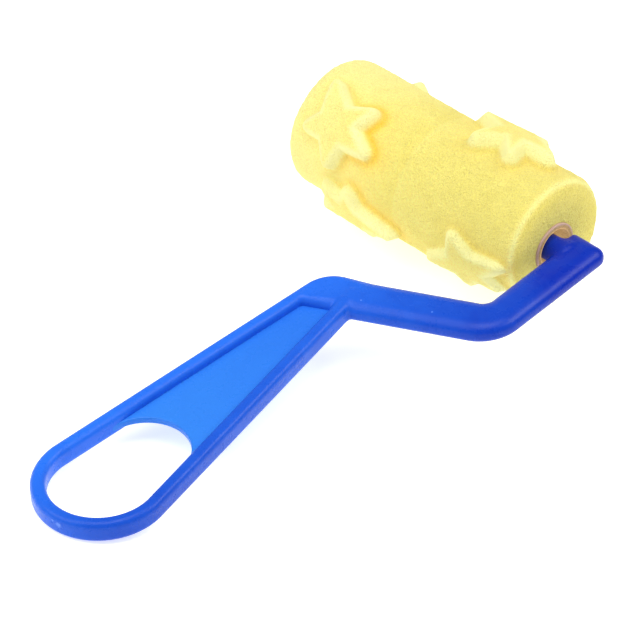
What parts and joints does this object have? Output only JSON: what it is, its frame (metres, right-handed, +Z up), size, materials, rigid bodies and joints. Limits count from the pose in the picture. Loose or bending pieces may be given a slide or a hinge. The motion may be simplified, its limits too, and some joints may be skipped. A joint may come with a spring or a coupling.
{
  "type": "paint roller",
  "caption": "Child's craft paint roller: a loop handle with a web panel and cranked arm, and a foam sleeve with raised stars on a card tube.",
  "frame": {"origin": "middle of the footprint, on the surface that the roller lies on", "axes": "+X along the roller's axis towards the arm, +Y from the grip to the roller, +Z up"},
  "size_m": [0.1066, 0.1944, 0.048],
  "materials": {
    "blue_plastic": "gloss",
    "blue_web": "gloss",
    "foam": "matte",
    "card": "matte"
  },
  "bodies": {
    "handle": {"grip_bow": "blue_plastic", "rim_left": "blue_plastic", "rim_right": "blue_plastic", "web_panel": "blue_web", "neck_bar": "blue_plastic", "roller_arm": "blue_plastic", "axle_block": "blue_plastic", "axle": "blue_plastic", "end_cap": "blue_plastic"},
    "roller": {"core_tube": "card", "foam_sleeve": "foam", "foam_star_01": "foam", "foam_star_02": "foam", "foam_star_03": "foam", "foam_star_04": "foam", "foam_star_05": "foam", "foam_star_06": "foam", "foam_star_07": "foam", "foam_star_08": "foam", "foam_star_09": "foam"}
  },
  "joints": [
    {"name": "roller_spin", "type": "hinge", "parent": "handle", "child": "roller", "pos_m": [0.03838, 0.07317, 0.024], "axis": [1, 0, 0], "continuous": true}
  ]
}
